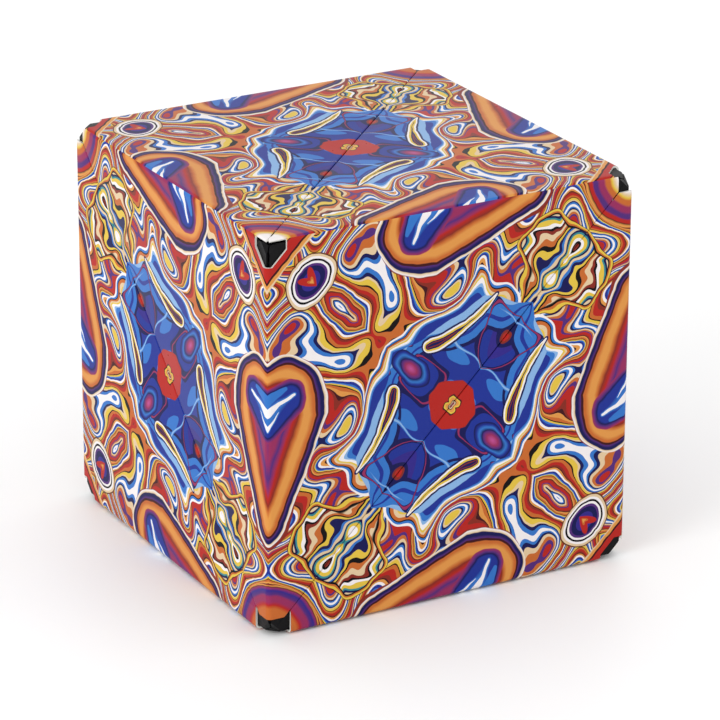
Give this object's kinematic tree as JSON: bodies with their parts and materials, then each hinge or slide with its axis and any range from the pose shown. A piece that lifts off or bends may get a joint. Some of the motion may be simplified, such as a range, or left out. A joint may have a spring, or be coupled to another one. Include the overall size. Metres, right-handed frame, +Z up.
{
  "type": "magnetic folding puzzle cube",
  "caption": "Cube-shaped magnetic folding puzzle: a closed ring of hollow tetrahedral wedges in printed film, hinged along the cube edges and opening at two opposite corners.",
  "frame": {"origin": "centre of the face the cube rests on", "axes": "+Z up; +X and +Y along the edges of the base. The two upright faces towards -X and -Y meet at the front edge, and the diagonal slit of the top face runs from that edge's top corner to the corner opposite"},
  "size_m": [0.057, 0.057, 0.057],
  "materials": {
    "printed_film": "glossy printed film with a multicolour pattern",
    "black_plastic": "fine satin black ABS",
    "magnet_metal": "nickel-plated discs on their carrier"
  },
  "bodies": {
    "wedge_01": {"wedge_01_tray": "black_plastic", "wedge_01_lid": "black_plastic", "wedge_01_magnets": "magnet_metal", "wedge_01_skin": "printed_film", "film_hinge_12_01": "printed_film"},
    "wedge_02": {"wedge_02_tray": "black_plastic", "wedge_02_lid": "black_plastic", "wedge_02_magnets": "magnet_metal", "wedge_02_skin": "printed_film", "film_hinge_01_02": "printed_film"},
    "wedge_03": {"wedge_03_tray": "black_plastic", "wedge_03_lid": "black_plastic", "wedge_03_magnets": "magnet_metal", "wedge_03_skin": "printed_film", "film_hinge_02_03": "printed_film"},
    "wedge_04": {"wedge_04_tray": "black_plastic", "wedge_04_lid": "black_plastic", "wedge_04_magnets": "magnet_metal", "wedge_04_skin": "printed_film", "film_hinge_03_04": "printed_film"},
    "wedge_05": {"wedge_05_tray": "black_plastic", "wedge_05_lid": "black_plastic", "wedge_05_magnets": "magnet_metal", "wedge_05_skin": "printed_film", "film_hinge_04_05": "printed_film"},
    "wedge_06": {"wedge_06_tray": "black_plastic", "wedge_06_lid": "black_plastic", "wedge_06_magnets": "magnet_metal", "wedge_06_skin": "printed_film", "film_hinge_05_06": "printed_film", "film_hinge_06_07": "printed_film"},
    "wedge_07": {"wedge_07_tray": "black_plastic", "wedge_07_lid": "black_plastic", "wedge_07_magnets": "magnet_metal", "wedge_07_skin": "printed_film", "film_hinge_07_08": "printed_film"},
    "wedge_08": {"wedge_08_tray": "black_plastic", "wedge_08_lid": "black_plastic", "wedge_08_magnets": "magnet_metal", "wedge_08_skin": "printed_film"},
    "wedge_09": {"wedge_09_tray": "black_plastic", "wedge_09_lid": "black_plastic", "wedge_09_magnets": "magnet_metal", "wedge_09_skin": "printed_film", "film_hinge_08_09": "printed_film"},
    "wedge_10": {"wedge_10_tray": "black_plastic", "wedge_10_lid": "black_plastic", "wedge_10_magnets": "magnet_metal", "wedge_10_skin": "printed_film", "film_hinge_09_10": "printed_film"},
    "wedge_11": {"wedge_11_tray": "black_plastic", "wedge_11_lid": "black_plastic", "wedge_11_magnets": "magnet_metal", "wedge_11_skin": "printed_film", "film_hinge_10_11": "printed_film"},
    "wedge_12": {"wedge_12_tray": "black_plastic", "wedge_12_lid": "black_plastic", "wedge_12_magnets": "magnet_metal", "wedge_12_skin": "printed_film", "film_hinge_11_12": "printed_film"}
  },
  "joints": [
    {"name": "hinge_06_07", "type": "hinge", "parent": "wedge_06", "child": "wedge_07", "pos_m": [0.0275, 0, 0.001], "axis": [0, 1, 0], "range_deg": [0, 8.8]},
    {"name": "hinge_05_06", "type": "hinge", "parent": "wedge_06", "child": "wedge_05", "pos_m": [0, -0.0275, 0.001], "axis": [1, 0, 0], "range_deg": [0, 8]},
    {"name": "hinge_04_05", "type": "hinge", "parent": "wedge_05", "child": "wedge_04", "pos_m": [0.0275, -0.0275, 0.0285], "axis": [0, 0, -1], "range_deg": [0, 8.8]},
    {"name": "hinge_03_04", "type": "hinge", "parent": "wedge_04", "child": "wedge_03", "pos_m": [0.0275, 0, 0.056], "axis": [0, 1, 0], "range_deg": [0, 8]},
    {"name": "hinge_02_03", "type": "hinge", "parent": "wedge_03", "child": "wedge_02", "pos_m": [0, -0.0275, 0.056], "axis": [-1, 0, 0], "range_deg": [0, 8.8]},
    {"name": "hinge_01_02", "type": "hinge", "parent": "wedge_02", "child": "wedge_01", "pos_m": [-0.0275, -0.0275, 0.0285], "axis": [0, 0, 1], "range_deg": [0, 8]},
    {"name": "hinge_12_01", "type": "hinge", "parent": "wedge_01", "child": "wedge_12", "pos_m": [-0.0275, 0, 0.056], "axis": [0, -1, 0], "range_deg": [0, 8.8]},
    {"name": "hinge_11_12", "type": "hinge", "parent": "wedge_12", "child": "wedge_11", "pos_m": [0, 0.0275, 0.056], "axis": [1, 0, 0], "range_deg": [0, 8]},
    {"name": "hinge_10_11", "type": "hinge", "parent": "wedge_11", "child": "wedge_10", "pos_m": [-0.0275, 0.0275, 0.0285], "axis": [0, 0, -1], "range_deg": [0, 8.8]},
    {"name": "hinge_09_10", "type": "hinge", "parent": "wedge_10", "child": "wedge_09", "pos_m": [-0.0275, 0, 0.001], "axis": [0, 1, 0], "range_deg": [0, 8]},
    {"name": "hinge_08_09", "type": "hinge", "parent": "wedge_09", "child": "wedge_08", "pos_m": [0, 0.0275, 0.001], "axis": [-1, 0, 0], "range_deg": [0, 8.8]}
  ],
  "couplings": [
    {"joint": "hinge_06_07", "follows": "hinge_05_06", "ratio": 1.1},
    {"joint": "hinge_04_05", "follows": "hinge_05_06", "ratio": 1.1},
    {"joint": "hinge_03_04", "follows": "hinge_05_06", "ratio": 1},
    {"joint": "hinge_02_03", "follows": "hinge_05_06", "ratio": 1.1},
    {"joint": "hinge_01_02", "follows": "hinge_05_06", "ratio": 1},
    {"joint": "hinge_12_01", "follows": "hinge_05_06", "ratio": 1.1},
    {"joint": "hinge_11_12", "follows": "hinge_05_06", "ratio": 1},
    {"joint": "hinge_10_11", "follows": "hinge_05_06", "ratio": 1.1},
    {"joint": "hinge_09_10", "follows": "hinge_05_06", "ratio": 1},
    {"joint": "hinge_08_09", "follows": "hinge_05_06", "ratio": 1.1}
  ]
}
